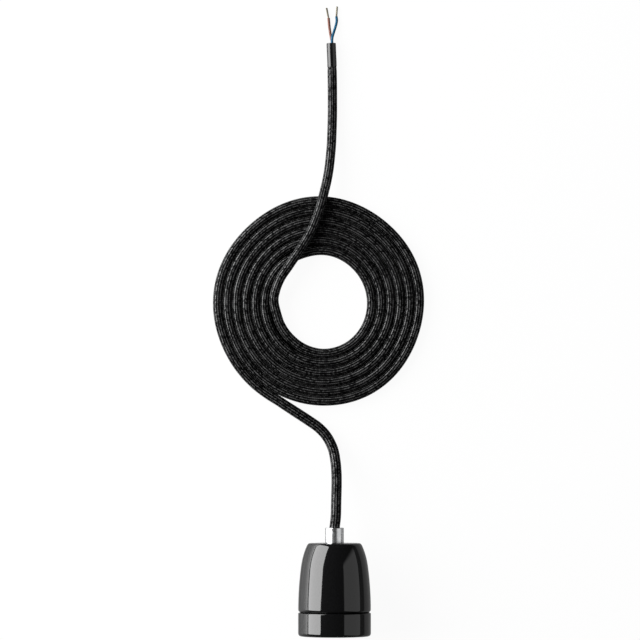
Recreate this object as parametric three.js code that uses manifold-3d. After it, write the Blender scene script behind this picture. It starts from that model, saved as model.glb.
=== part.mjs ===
// Pendant cord set, lying on its back as it was laid out: a porcelain lamp holder with a metal cord
// grip, and a textile cord wound in a flat coil, with its far end stripped. Millimetres, +Z up.
// The holder's axis runs along Y, its open rim at the front (-Y). The floor is z = 0.
import * as THREE from 'three';
import { mergeVertices } from 'three/addons/utils/BufferGeometryUtils.js';
import Module from 'manifold-3d';

const wasm = await Module();
wasm.setup();

// Fits
const SEAT_GAP = 0.3;
const SLIDE_GAP = 0.5;
const CORD_CLEARANCE = 0.35;
const SCREW_CLEARANCE = 0.3;

// Porcelain ring, with the sleeve that goes up inside the bell
const RING_RADIUS = 23.5;
const RING_HEIGHT = 15.2;
const RIM_ROUND = 2.2;
const GROOVE_ROUND = 1.4;
const MOUTH_ROUND = 1.5;
const MOUTH_DEPTH = 7;
const MOUTH_STEP = 1.2;
const SLEEVE_WALL = 3.3;

// Porcelain bell
const RING_LIP = 0.2;
const PORCELAIN_HEIGHT = 60;
const SIDE_TAPER = 3.8;
const SHOULDER_DROP = 5.5;
const SHOULDER_FULLNESS = 0.7;
const SHOULDER_INSET = 4.1;
const BELL_TOP_WALL = 4.5;
const BELL_UPPER_WALL = 3.5;
const UPPER_CAVITY_TAPER = 2.6;

// E27 screw shell of thin sheet
const THREAD_CREST_RADIUS = 12.35;
const THREAD_DEPTH = 1.0;
const THREAD_PITCH = 3.63;
const SHELL_SHEET = 0.4;
const SHELL_BOTTOM = 9;
const SHELL_COLLAR = 1.8;
const SHELL_FLANGE_HOLE = 4;

// Steatite contact block
const BLOCK_THICKNESS = 10;
const BLOCK_CHAMFER = 0.6;
const POCKET_DEPTH = 4;

// Brass terminals and their screws
const TERMINAL_LENGTH = 5;
const TERMINAL_WIDTH = 7;
const TERMINAL_HEIGHT = 7.7;
const WIRE_HOLE_RADIUS = 1.1;
const WIRE_HOLE_BELOW_TOP = 2.6;
const SCREW_RADIUS = 1.45;
const SCREW_HEAD_RADIUS = 2.4;
const SCREW_HEAD_HEIGHT = 1.8;
const SCREW_HEAD_CHAMFER = 0.3;
const SCREW_SLOT_WIDTH = 0.7;
const SCREW_SLOT_DEPTH = 0.8;
const FIXING_SCREW_REACH = 3;

// Centre contact tongue
const TONGUE_SHEET = 0.6;
const TONGUE_WIDTH = 6;
const TONGUE_ROOT = 5.6;
const TONGUE_SLOPE = 5;
const TONGUE_DROP = 3;
const TONGUE_FLAT = 1.4;
const TONGUE_HOOK = 1.4;
const TONGUE_CURL = 1.1;

// Metal cord grip with its M10x1 stem
const GRIP_RADIUS = 6;
const GRIP_HEIGHT = 9.7;
const GRIP_EDGE = 0.6;
const GRIP_WALL = 1.6;
const GRIP_FLOOR = 1.4;
const STEM_RADIUS = 5;
const STEM_BELOW_NUT = 0.2;
const BUSH_RECESS = 0.4;
const NUT_ACROSS_FLATS = 14;
const NUT_HEIGHT = 3;
const NUT_CLEARANCE = 1;
const WASHER_THICKNESS = 0.8;
const WASHER_MARGIN = 1;
const GRUB_RADIUS = 1.5;
const GRUB_SLOT = 0.5;
const GRUB_SINK = 0.1;

// Cord: two cores in a textile braid
const CORD_RADIUS = 3.05;
const CORD_STEP = 4 * CORD_RADIUS;
const CORE_RADIUS = 0.85;
const CONDUCTOR_RADIUS = 0.45;
const CORE_SPACING = 2.1;
const CORE_BEND = 3.4;
const CORD_INSIDE_REACH = 0.9;
const INNER_STRIP = 4;
const CORE_STEP = 2.5;
const INNER_CORE_STEP = 1;

// The coil's outer shape, from the grip's mouth
const COIL_CENTRE = new THREE.Vector2(-10.6, 144.5);
const COIL_OUTER_RADIUS = 68.8;
const COIL_INNER_RADIUS = 28.6;
const COIL_EDGE = 2.2;

// The cord's route from the grip's mouth to the coil: x and y from the mouth, z from the floor
const LEAD_ROUTE = [
  [0, 0.3, 23.5], [0.3, 5, 23.5], [0.7, 9.5, 23.2], [0.9, 14.5, 22.2], [1.1, 20.5, 20.1],
  [1.4, 28.1, 16.5], [1.3, 35.7, 12.3], [0.6, 43.4, 8.3], [-1.0, 51.1, 5.1], [-5.1, 58.9, 3.4],
  [-10.4, 64.6, 3.1], [-16.0, 68.9, 3.07], [-22.4, 73.1, 3.07],
];

// The cord's route over the coil and on to the sleeve
const TAIL_ROUTE = [
  [-31.3, 168.8, 9.5], [-28.1, 173.9, 9.5], [-24.4, 179.7, 9.5], [-19.7, 186.8, 9.5],
  [-16.2, 192.8, 9.5], [-13.2, 199.5, 9.5], [-10.6, 206.2, 9.5], [-8.4, 212.5, 9.5],
  [-6.5, 219.2, 9.3], [-4.8, 226.0, 8.6], [-3.5, 233.5, 7.5], [-2.6, 241.5, 6.2],
  [-1.9, 250.0, 4.9], [-1.5, 259.0, 3.8], [-1.2, 268.3, 3.2], [-1.1, 278.0, 3.08],
  [-1.1, 288.0, 3.07], [-1.3, 299.8, 3.07],
];

// The shrink sleeve and the free cores
const SLEEVE_RADIUS = 2.85;
const END_SLEEVE_ROUTE = [[-1.3, 300.1, 3.0], [-1.5, 307.5, 2.95], [-1.8, 315.0, 2.9]];
const BROWN_ROUTE = [[-2.3, 315.3, 1.8], [-2.5, 320.2, 1.4], [-3.1, 326.0, 1.0], [-3.8, 331.8, 0.85]];
const BROWN_BARE = [[-3.84, 332.1, 0.85], [-4.4, 335.2, 0.8], [-4.9, 338.3, 0.75]];
const BLUE_ROUTE = [
  [-1.6, 315.3, 3.9], [-1.4, 318.4, 3.4], [-0.5, 321.8, 2.7],
  [1.0, 326.8, 1.5], [1.6, 330.2, 0.95], [1.3, 332.8, 0.85],
];
const BLUE_BARE = [[1.33, 333.1, 0.85], [1.7, 336.1, 0.8], [1.9, 339.1, 0.75]];

// Radii that follow from the sizes above
const BELL_RADIUS = RING_RADIUS - RING_LIP;
const SHOULDER_RADIUS = BELL_RADIUS - SIDE_TAPER;
const BELL_TOP_RADIUS = SHOULDER_RADIUS - SHOULDER_INSET;
const UPPER_CAVITY_RADIUS = SHOULDER_RADIUS - BELL_UPPER_WALL;
const THREAD_ROOT_RADIUS = THREAD_CREST_RADIUS + THREAD_DEPTH;
const SHELL_OUTER_RADIUS = THREAD_ROOT_RADIUS + SHELL_SHEET;
const RING_BORE = SHELL_OUTER_RADIUS + SLIDE_GAP;
const SLEEVE_OUTER_RADIUS = RING_BORE + SLEEVE_WALL;
const BELL_BORE = SLEEVE_OUTER_RADIUS + SLIDE_GAP;
const GRIP_CAVITY_RADIUS = GRIP_RADIUS - GRIP_WALL;
const CORD_BORE = CORD_RADIUS + CORD_CLEARANCE;
const SCREW_HOLE = SCREW_RADIUS + SCREW_CLEARANCE;

// Heights along the holder's axis from the rim. Inside the bell they follow each other down from its
// ceiling: washer, nut, clamping screws, terminals, contact block, sleeve and shell.
const BELL_BOTTOM = RING_HEIGHT + SEAT_GAP;
const BELL_CEILING = PORCELAIN_HEIGHT - BELL_TOP_WALL;
const WASHER_BOTTOM = BELL_CEILING - SEAT_GAP - WASHER_THICKNESS;
const NUT_BOTTOM = WASHER_BOTTOM - SEAT_GAP - NUT_HEIGHT;
const STEM_BOTTOM = NUT_BOTTOM - STEM_BELOW_NUT;
const CLAMP_HEAD_BOTTOM = NUT_BOTTOM - NUT_CLEARANCE - SCREW_HEAD_HEIGHT;
const TERMINAL_TOP = CLAMP_HEAD_BOTTOM - SEAT_GAP;
const TERMINAL_BOTTOM = TERMINAL_TOP - TERMINAL_HEIGHT;
const WIRE_LEVEL = TERMINAL_TOP - WIRE_HOLE_BELOW_TOP;
const BLOCK_TOP = TERMINAL_BOTTOM - SEAT_GAP + POCKET_DEPTH;
const BLOCK_BOTTOM = BLOCK_TOP - BLOCK_THICKNESS;
const BELL_LEDGE = BLOCK_TOP + SEAT_GAP;
const SLEEVE_TOP = BLOCK_BOTTOM - SEAT_GAP;
const SHELL_TOP = SLEEVE_TOP;
const GRIP_BOTTOM = PORCELAIN_HEIGHT + SEAT_GAP;
const GRIP_CAVITY_FLOOR = GRIP_BOTTOM + GRIP_FLOOR;
const GRIP_TOP = GRIP_BOTTOM + GRIP_HEIGHT;

// How far the terminals stand out from the axis
const TERMINAL_FACE = CORE_SPACING / 2 + CORE_BEND + SLIDE_GAP;
const TERMINAL_OFFSET = TERMINAL_FACE + TERMINAL_LENGTH / 2;

// The holder's rim and the grip's mouth lie as far before the origin as behind it.
const MOUTH_Y = GRIP_TOP / 2;

// How far a cutting tool runs past the face that it cuts
const CUT_MARGIN = 1;

const ROUND_SIDES = 40;
const GRIP_SIDES = 32;
const COIL_SIDES = 64;
const SMALL_SIDES = 20;
const CORD_SIDES = 12;
const CORE_SIDES = 8;

const FINISH = {
  glaze: { color: 0x0b0b0c, roughness: 0.08, metalness: 0 },
  steatite: { color: 0xd9d2c4, roughness: 0.75, metalness: 0 },
  brass: { color: 0xb58b45, roughness: 0.35, metalness: 1 },
  nickel: { color: 0xb9b7b0, roughness: 0.3, metalness: 1 },
  steel: { color: 0xc4c6c8, roughness: 0.25, metalness: 1 },
  nylon: { color: 0x1a1a1a, roughness: 0.5, metalness: 0 },
  braid: { color: 0x1c1d1f, roughness: 0.85, metalness: 0 },
  shrink: { color: 0x101011, roughness: 0.25, metalness: 0 },
  brown: { color: 0x7a4a35, roughness: 0.45, metalness: 0 },
  blue: { color: 0x1c66a8, roughness: 0.4, metalness: 0 },
  copper: { color: 0x8f866a, roughness: 0.4, metalness: 1 },
};

function piece(name, geometry, finish) {
  const mesh = new THREE.Mesh(geometry, new THREE.MeshStandardMaterial(FINISH[finish]));
  mesh.name = name;
  return mesh;
}

function toSolid(geometry) {
  const bare = geometry.clone();
  bare.deleteAttribute('normal');
  bare.deleteAttribute('uv');
  const merged = mergeVertices(bare, 1e-4);
  const index = Array.from(merged.index.array);
  const faces = [];
  for (let i = 0; i < index.length; i += 3) {
    const [a, b, c] = index.slice(i, i + 3);
    if (a !== b && b !== c && c !== a) faces.push(a, b, c);
  }
  return new wasm.Manifold(new wasm.Mesh({
    numProp: 3,
    vertProperties: new Float32Array(merged.attributes.position.array),
    triVerts: new Uint32Array(faces),
  }));
}

function cut(geometry, ...tools) {
  const mesh = tools.reduce((solid, tool) => solid.subtract(toSolid(tool)), toSolid(geometry)).getMesh();
  const result = new THREE.BufferGeometry();
  result.setAttribute('position', new THREE.BufferAttribute(mesh.vertProperties, 3));
  result.setIndex(new THREE.BufferAttribute(mesh.triVerts, 1));
  result.computeVertexNormals();
  return result;
}

// A solid of revolution about Y. The outline runs up on the outside and down on the inside.
function turned(outline, sides = ROUND_SIDES) {
  const drawn = outline instanceof THREE.Path;
  const points = drawn ? outline.getPoints(4) : outline.map(([r, h]) => new THREE.Vector2(r, h));
  return new THREE.LatheGeometry(points, sides);
}

function closedRing(outline, sides) {
  return turned([...outline, outline[0]], sides);
}

function box(width, height, depth, x, y, z) {
  return new THREE.BoxGeometry(width, height, depth).translate(x, y, z);
}

// A round bar along Y from one height to another
function bar(radius, from, to, x = 0, z = 0, sides = SMALL_SIDES) {
  return new THREE.CylinderGeometry(radius, radius, to - from, sides).translate(x, (from + to) / 2, z);
}

function spline(route) {
  return new THREE.CatmullRomCurve3(route.map((p) => new THREE.Vector3(...p)), false, 'centripetal');
}

// A round tube along a path, closed at both ends
function tube(path, radius, sides, step) {
  const steps = Math.max(3, Math.round(path.getLength() / step));
  const section = new THREE.Shape();
  for (let i = 0; i < sides; i += 1) {
    const angle = (2 * Math.PI * i) / sides;
    const point = [radius * Math.cos(angle), radius * Math.sin(angle)];
    if (i === 0) section.moveTo(...point);
    else section.lineTo(...point);
  }
  section.closePath();
  return new THREE.ExtrudeGeometry(section, { steps, bevelEnabled: false, extrudePath: path });
}

function ringOutline() {
  const outline = new THREE.Path();
  const mouth = RING_BORE + MOUTH_STEP;
  outline.moveTo(mouth + MOUTH_ROUND, 0);
  outline.lineTo(RING_RADIUS - RIM_ROUND, 0);
  outline.quadraticCurveTo(RING_RADIUS, 0, RING_RADIUS, RIM_ROUND);
  outline.lineTo(RING_RADIUS, RING_HEIGHT - GROOVE_ROUND);
  outline.quadraticCurveTo(RING_RADIUS, RING_HEIGHT, RING_RADIUS - GROOVE_ROUND, RING_HEIGHT);
  outline.lineTo(SLEEVE_OUTER_RADIUS, RING_HEIGHT);
  outline.lineTo(SLEEVE_OUTER_RADIUS, SLEEVE_TOP);
  outline.lineTo(RING_BORE, SLEEVE_TOP);
  outline.lineTo(RING_BORE, MOUTH_DEPTH + MOUTH_STEP);
  outline.lineTo(mouth, MOUTH_DEPTH);
  outline.lineTo(mouth, MOUTH_ROUND);
  outline.quadraticCurveTo(mouth, 0, mouth + MOUTH_ROUND, 0);
  return outline;
}

// The bell's side is a long arc that starts upright; the shoulder carries it over into the flat top.
function bellOutline() {
  const outline = new THREE.Path();
  const sideBottom = BELL_BOTTOM + GROOVE_ROUND;
  const sideTop = PORCELAIN_HEIGHT - SHOULDER_DROP;
  const slope = (2 * (BELL_RADIUS - SHOULDER_RADIUS)) / (sideTop - sideBottom);
  const shoulderCorner = SHOULDER_RADIUS - slope * SHOULDER_DROP * SHOULDER_FULLNESS;
  outline.moveTo(BELL_BORE, BELL_BOTTOM);
  outline.lineTo(BELL_RADIUS - GROOVE_ROUND, BELL_BOTTOM);
  outline.quadraticCurveTo(BELL_RADIUS, BELL_BOTTOM, BELL_RADIUS, sideBottom);
  outline.quadraticCurveTo(BELL_RADIUS, (sideBottom + sideTop) / 2, SHOULDER_RADIUS, sideTop);
  outline.quadraticCurveTo(shoulderCorner, PORCELAIN_HEIGHT, BELL_TOP_RADIUS, PORCELAIN_HEIGHT);
  outline.lineTo(STEM_RADIUS + SEAT_GAP, PORCELAIN_HEIGHT);
  outline.lineTo(STEM_RADIUS + SEAT_GAP, BELL_CEILING);
  outline.lineTo(UPPER_CAVITY_RADIUS - UPPER_CAVITY_TAPER, BELL_CEILING);
  outline.lineTo(UPPER_CAVITY_RADIUS, BELL_LEDGE);
  outline.lineTo(BELL_BORE, BELL_LEDGE);
  outline.lineTo(BELL_BORE, BELL_BOTTOM);
  return outline;
}

// Thin sheet round the axis: an outer and an inner skin with a right-hand rolled thread, and a flange
// turned in at the top. The thread fades out into a plain collar at each end.
function shellGeometry() {
  const sides = 24;
  const levels = 34;
  const flange = SHELL_TOP - SHELL_SHEET;
  const rows = [];
  const height = (i) => SHELL_BOTTOM + ((flange - SHELL_BOTTOM) * i) / levels;
  const fade = (h) => Math.min(1, (h - SHELL_BOTTOM) / SHELL_COLLAR, (flange - h) / SHELL_COLLAR);
  const wave = (h, turn) => 0.5 * THREAD_DEPTH * fade(h) * Math.cos(2 * Math.PI * (h / THREAD_PITCH - turn));
  const middle = THREAD_CREST_RADIUS + THREAD_DEPTH / 2;
  for (let i = 0; i <= levels; i += 1) {
    const h = height(i);
    rows.push({ h: i === levels ? SHELL_TOP : h, r: (turn) => middle + SHELL_SHEET + wave(h, turn) });
  }
  rows.push({ h: SHELL_TOP, r: () => SHELL_FLANGE_HOLE });
  rows.push({ h: flange, r: () => SHELL_FLANGE_HOLE });
  for (let i = levels; i >= 0; i -= 1) {
    const h = height(i);
    rows.push({ h, r: (turn) => middle + wave(h, turn) });
  }
  const positions = [];
  const faces = [];
  rows.forEach((row) => {
    for (let j = 0; j < sides; j += 1) {
      const turn = j / sides;
      const radius = row.r(turn);
      positions.push(radius * Math.sin(2 * Math.PI * turn), row.h, radius * Math.cos(2 * Math.PI * turn));
    }
  });
  rows.forEach((row, i) => {
    const next = (i + 1) % rows.length;
    for (let j = 0; j < sides; j += 1) {
      const k = (j + 1) % sides;
      const [a, b, c, d] = [i * sides + j, i * sides + k, next * sides + k, next * sides + j];
      faces.push(a, b, c, a, c, d);
    }
  });
  const geometry = new THREE.BufferGeometry();
  geometry.setAttribute('position', new THREE.Float32BufferAttribute(positions, 3));
  geometry.setIndex(faces);
  return geometry;
}

// The shell's flange is cut back round the tongue's root, and holed for its own fixing screw.
function screwShell() {
  const left = -(TERMINAL_OFFSET + SCREW_HEAD_RADIUS + 1.5 * SLIDE_GAP);
  const right = TERMINAL_FACE - 2 * SLIDE_GAP;
  const width = TONGUE_WIDTH + 4 * SLIDE_GAP;
  const window = box(right - left, 4 * SHELL_SHEET, width, (left + right) / 2, SHELL_TOP, 0);
  const hole = bar(SCREW_HOLE, SHELL_TOP - CUT_MARGIN, SHELL_TOP + CUT_MARGIN, TERMINAL_OFFSET);
  return piece('screw_shell', cut(shellGeometry(), window, hole), 'nickel');
}

function contactBlock() {
  const radius = BELL_BORE - SLIDE_GAP;
  const c = BLOCK_CHAMFER;
  const disc = turned([
    [0, BLOCK_BOTTOM], [radius - c, BLOCK_BOTTOM], [radius, BLOCK_BOTTOM + c],
    [radius, BLOCK_TOP - c], [radius - c, BLOCK_TOP], [0, BLOCK_TOP],
  ]);
  const tools = [];
  for (const side of [-1, 1]) {
    const x = side * TERMINAL_OFFSET;
    const fit = 2 * SEAT_GAP;
    tools.push(box(TERMINAL_LENGTH + fit, 2 * POCKET_DEPTH, TERMINAL_WIDTH + fit, x, BLOCK_TOP, 0));
    tools.push(bar(SCREW_HOLE, BLOCK_BOTTOM - CUT_MARGIN, BLOCK_TOP + CUT_MARGIN, x));
  }
  return piece('contact_block', cut(disc, ...tools), 'steatite');
}

function slottedScrew(name, length, finish) {
  const head = SCREW_HEAD_HEIGHT;
  const body = turned([
    [0, -length], [SCREW_RADIUS, -length], [SCREW_RADIUS, 0], [SCREW_HEAD_RADIUS, 0],
    [SCREW_HEAD_RADIUS, head - SCREW_HEAD_CHAMFER], [SCREW_HEAD_RADIUS - SCREW_HEAD_CHAMFER, head], [0, head],
  ], SMALL_SIDES);
  const slot = box(3 * SCREW_HEAD_RADIUS, 2 * SCREW_SLOT_DEPTH, SCREW_SLOT_WIDTH, 0, head, 0);
  return piece(name, cut(body, slot), finish);
}

// One terminal with its wire hole along X, its clamping screw from above and the screw that comes up
// from below to hold it down
function terminalSet(side, names) {
  const set = new THREE.Group();
  const x = side * TERMINAL_OFFSET;
  const middle = (TERMINAL_BOTTOM + TERMINAL_TOP) / 2;
  const block = box(TERMINAL_LENGTH, TERMINAL_HEIGHT, TERMINAL_WIDTH, x, middle, 0);
  const wireHole = bar(WIRE_HOLE_RADIUS, -TERMINAL_LENGTH, TERMINAL_LENGTH)
    .rotateZ(Math.PI / 2).translate(x, WIRE_LEVEL, 0);
  const clampHole = bar(SCREW_HOLE, WIRE_LEVEL, TERMINAL_TOP + CUT_MARGIN, x);
  const fixingTop = TERMINAL_BOTTOM + FIXING_SCREW_REACH;
  const fixingHole = bar(SCREW_HOLE, TERMINAL_BOTTOM - CUT_MARGIN, fixingTop + SCREW_CLEARANCE, x);
  set.add(piece(names.terminal, cut(block, wireHole, clampHole, fixingHole), 'brass'));

  const conductorTop = WIRE_LEVEL - WIRE_HOLE_RADIUS + SEAT_GAP + 2 * CONDUCTOR_RADIUS;
  const clamp = slottedScrew(names.clamp, CLAMP_HEAD_BOTTOM - conductorTop - SEAT_GAP, 'brass');
  clamp.position.set(x, CLAMP_HEAD_BOTTOM, 0);
  set.add(clamp);

  const sheet = side < 0 ? TONGUE_SHEET : SHELL_SHEET;
  const sheetBottom = (side < 0 ? BLOCK_BOTTOM - SEAT_GAP : SHELL_TOP) - sheet;
  const fixingHead = sheetBottom - SEAT_GAP;
  const fixing = slottedScrew(names.fixing, fixingTop - fixingHead, 'brass');
  fixing.rotation.x = Math.PI;
  fixing.position.set(x, fixingHead, 0);
  set.add(fixing);
  return set;
}

// A bent strip: its upper line, and the same line one sheet lower
function centreContact() {
  const top = BLOCK_BOTTOM - SEAT_GAP;
  const root = -TERMINAL_OFFSET - TONGUE_WIDTH / 2;
  const bend = root + TONGUE_ROOT;
  const tip = bend + TONGUE_SLOPE;
  const low = top - TONGUE_DROP;
  const upper = [
    [root, top], [bend, top], [tip, low], [tip + TONGUE_FLAT, low],
    [tip + TONGUE_FLAT + TONGUE_HOOK, low + TONGUE_CURL],
  ];
  const lower = upper.map(([x, y]) => [x, y - TONGUE_SHEET]).reverse();
  const shape = new THREE.Shape([...upper, ...lower].map(([x, y]) => new THREE.Vector2(x, y)));
  const strip = new THREE.ExtrudeGeometry(shape, { depth: TONGUE_WIDTH, bevelEnabled: false })
    .translate(0, 0, -TONGUE_WIDTH / 2);
  const hole = bar(SCREW_HOLE, top - 2 * CUT_MARGIN, top + CUT_MARGIN, -TERMINAL_OFFSET);
  return piece('centre_contact', cut(strip, hole), 'brass');
}

// The grip: stem with the cord's bore, cup for the clamping bush, and a side hole for the grub screw,
// which is on the side that faces the floor
function gripBody() {
  const body = closedRing([
    [CORD_BORE, STEM_BOTTOM], [STEM_RADIUS, STEM_BOTTOM], [STEM_RADIUS, GRIP_BOTTOM],
    [GRIP_RADIUS, GRIP_BOTTOM], [GRIP_RADIUS, GRIP_TOP - GRIP_EDGE], [GRIP_RADIUS - GRIP_EDGE, GRIP_TOP],
    [GRIP_CAVITY_RADIUS, GRIP_TOP], [GRIP_CAVITY_RADIUS, GRIP_CAVITY_FLOOR], [CORD_BORE, GRIP_CAVITY_FLOOR],
  ], GRIP_SIDES);
  const sideHole = bar(GRUB_RADIUS + SCREW_CLEARANCE, 0, GRIP_RADIUS + CUT_MARGIN)
    .rotateX(-Math.PI / 2).translate(0, (GRIP_BOTTOM + GRIP_TOP) / 2, 0);
  return piece('grip_body', cut(body, sideHole), 'steel');
}

function gripParts() {
  const parts = new THREE.Group();
  parts.add(gripBody());
  const bushOuter = GRIP_CAVITY_RADIUS - SEAT_GAP;
  const bushBottom = GRIP_CAVITY_FLOOR + SEAT_GAP;
  const bushTop = GRIP_TOP - BUSH_RECESS;
  parts.add(piece('grip_bush', closedRing([
    [CORD_BORE, bushBottom], [bushOuter, bushBottom], [bushOuter, bushTop], [CORD_BORE, bushTop],
  ], GRIP_SIDES), 'nylon'));

  const grub = bar(GRUB_RADIUS, GRIP_CAVITY_RADIUS, GRIP_RADIUS - GRUB_SINK);
  const slot = box(3 * GRUB_RADIUS, 2 * GRUB_SLOT, GRUB_SLOT, 0, GRIP_RADIUS, 0);
  const grubScrew = piece('grip_screw', cut(grub, slot), 'steel');
  grubScrew.rotation.x = -Math.PI / 2;
  grubScrew.position.y = (GRIP_BOTTOM + GRIP_TOP) / 2;
  parts.add(grubScrew);

  const hole = STEM_RADIUS + SEAT_GAP;
  const nutTop = NUT_BOTTOM + NUT_HEIGHT;
  const hexagon = bar(NUT_ACROSS_FLATS / Math.sqrt(3), NUT_BOTTOM, nutTop, 0, 0, 6);
  const nutHole = bar(hole, NUT_BOTTOM - CUT_MARGIN, nutTop + CUT_MARGIN);
  parts.add(piece('lock_nut', cut(hexagon, nutHole), 'nickel'));
  const washerRadius = NUT_ACROSS_FLATS / 2 + WASHER_MARGIN;
  const washerTop = WASHER_BOTTOM + WASHER_THICKNESS;
  parts.add(piece('lock_washer', closedRing([
    [hole, WASHER_BOTTOM], [washerRadius, WASHER_BOTTOM], [washerRadius, washerTop], [hole, washerTop],
  ], GRIP_SIDES), 'nickel'));
  return parts;
}

// The cord's last stretch in the grip, and its two cores bending out to the terminals
function innerWiring() {
  const wiring = new THREE.Group();
  const jacketEnd = STEM_BOTTOM - CORD_INSIDE_REACH;
  wiring.add(piece('cord_inner_end', bar(CORD_RADIUS, jacketEnd, GRIP_TOP), 'braid'));
  const conductorLevel = WIRE_LEVEL - WIRE_HOLE_RADIUS + SEAT_GAP + CONDUCTOR_RADIUS;
  const start = jacketEnd - SEAT_GAP;
  const cores = [[-1, 'inner_brown_core', 'inner_brown_conductor', 'brown'],
    [1, 'inner_blue_core', 'inner_blue_conductor', 'blue']];
  for (const [side, coreName, conductorName, finish] of cores) {
    const x = side * (CORE_SPACING / 2);
    const end = side * (TERMINAL_FACE - SEAT_GAP);
    const bend = new THREE.QuadraticBezierCurve3(
      new THREE.Vector3(x, start, 0),
      new THREE.Vector3(x, conductorLevel, 0),
      new THREE.Vector3(end, conductorLevel, 0),
    );
    wiring.add(piece(coreName, tube(bend, CORE_RADIUS, CORE_SIDES, INNER_CORE_STEP), finish));
    const bareStart = end + side * SEAT_GAP;
    const bare = new THREE.LineCurve3(
      new THREE.Vector3(bareStart, conductorLevel, 0),
      new THREE.Vector3(bareStart + side * INNER_STRIP, conductorLevel, 0),
    );
    wiring.add(piece(conductorName, tube(bare, CONDUCTOR_RADIUS, CORE_SIDES, INNER_STRIP), 'copper'));
  }
  return wiring;
}

function lampHolder() {
  const holder = new THREE.Group();
  holder.position.set(0, -MOUTH_Y, RING_RADIUS);
  holder.add(piece('porcelain_ring', turned(ringOutline()), 'glaze'));
  holder.add(piece('porcelain_bell', turned(bellOutline()), 'glaze'));
  holder.add(screwShell());
  holder.add(contactBlock());
  holder.add(centreContact());
  holder.add(terminalSet(-1, {
    terminal: 'live_terminal', clamp: 'live_terminal_screw', fixing: 'centre_contact_screw',
  }));
  holder.add(terminalSet(1, {
    terminal: 'neutral_terminal', clamp: 'neutral_terminal_screw', fixing: 'shell_screw',
  }));
  holder.add(gripParts());
  holder.add(innerWiring());
  return holder;
}

// The coil lies flat: a ring one cord thick, its section rounded at the inner and outer turns
function coil() {
  const [inner, outer, e, top] = [COIL_INNER_RADIUS, COIL_OUTER_RADIUS, COIL_EDGE, 2 * CORD_RADIUS];
  const ring = closedRing([
    [inner + e, 0], [outer - e, 0], [outer, e], [outer, top - e],
    [outer - e, top], [inner + e, top], [inner, top - e], [inner, e],
  ], COIL_SIDES);
  const mesh = piece('cord_coil', ring, 'braid');
  mesh.rotation.x = Math.PI / 2;
  mesh.position.set(COIL_CENTRE.x, COIL_CENTRE.y, 0);
  return mesh;
}

function freeCord() {
  const cord = new THREE.Group();
  cord.position.y = MOUTH_Y;
  const thick = (name, route, radius, finish) => (
    piece(name, tube(spline(route), radius, CORD_SIDES, CORD_STEP), finish)
  );
  const thin = (name, route, radius, finish) => (
    piece(name, tube(spline(route), radius, CORE_SIDES, CORE_STEP), finish)
  );
  cord.add(thick('cord_lead', LEAD_ROUTE, CORD_RADIUS, 'braid'));
  cord.add(coil());
  cord.add(thick('cord_tail', TAIL_ROUTE, CORD_RADIUS, 'braid'));
  cord.add(thick('end_sleeve', END_SLEEVE_ROUTE, SLEEVE_RADIUS, 'shrink'));
  cord.add(thin('brown_core', BROWN_ROUTE, CORE_RADIUS, 'brown'));
  cord.add(thin('blue_core', BLUE_ROUTE, CORE_RADIUS, 'blue'));
  cord.add(thin('brown_conductor', BROWN_BARE, CONDUCTOR_RADIUS, 'copper'));
  cord.add(thin('blue_conductor', BLUE_BARE, CONDUCTOR_RADIUS, 'copper'));
  return cord;
}

const pendantCordSet = new THREE.Group();
pendantCordSet.add(lampHolder());
pendantCordSet.add(freeCord());

export default pendantCordSet;
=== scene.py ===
# Pendant cord set, lying on a pale table and seen from straight above. Blender 4.5, metres, +Z up.
# The holder's axis runs along Y at the height HOLDER_AXIS, its open rim at the front (-Y).
import math

import bpy
import numpy as np
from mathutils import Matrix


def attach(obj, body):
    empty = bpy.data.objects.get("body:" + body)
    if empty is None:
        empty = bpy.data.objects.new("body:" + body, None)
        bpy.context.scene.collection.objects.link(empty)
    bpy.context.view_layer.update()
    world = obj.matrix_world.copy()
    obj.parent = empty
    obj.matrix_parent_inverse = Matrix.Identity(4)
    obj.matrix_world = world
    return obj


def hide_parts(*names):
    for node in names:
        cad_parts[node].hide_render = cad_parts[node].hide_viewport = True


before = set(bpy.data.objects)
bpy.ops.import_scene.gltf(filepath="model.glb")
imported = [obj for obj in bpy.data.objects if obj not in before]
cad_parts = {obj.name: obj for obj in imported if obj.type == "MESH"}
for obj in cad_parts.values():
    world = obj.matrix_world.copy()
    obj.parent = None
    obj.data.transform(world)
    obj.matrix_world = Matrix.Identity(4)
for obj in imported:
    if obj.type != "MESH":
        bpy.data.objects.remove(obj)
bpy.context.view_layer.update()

MM = 0.001


# Camera: a long lens high above the table, so the coil and the holder are seen in plan. It stands
# over the cord between the two, and looks up the picture by a little less than two degrees.
IMAGE_SIDE_PX = 640
SENSOR_WIDTH = 36.0
FOCAL_LENGTH_PX = 4099.5
CAMERA_PLACE = (-9.39 * MM, 87.0 * MM, 2676.2 * MM)
CAMERA_LOOKS_AT_Y = 170.07 * MM
CLIP_RANGE = (0.05, 100.0)

camera_data = bpy.data.cameras.new("overhead_camera")
camera_data.sensor_width = SENSOR_WIDTH
camera_data.lens = FOCAL_LENGTH_PX / IMAGE_SIDE_PX * SENSOR_WIDTH
camera_data.clip_start, camera_data.clip_end = CLIP_RANGE
camera = bpy.data.objects.new("overhead_camera", camera_data)
camera.location = CAMERA_PLACE
camera.rotation_euler = (math.atan((CAMERA_LOOKS_AT_Y - CAMERA_PLACE[1]) / CAMERA_PLACE[2]), 0.0, 0.0)
bpy.context.scene.collection.objects.link(camera)
bpy.context.scene.camera = camera
bpy.context.scene.view_settings.view_transform = "Standard"


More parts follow.
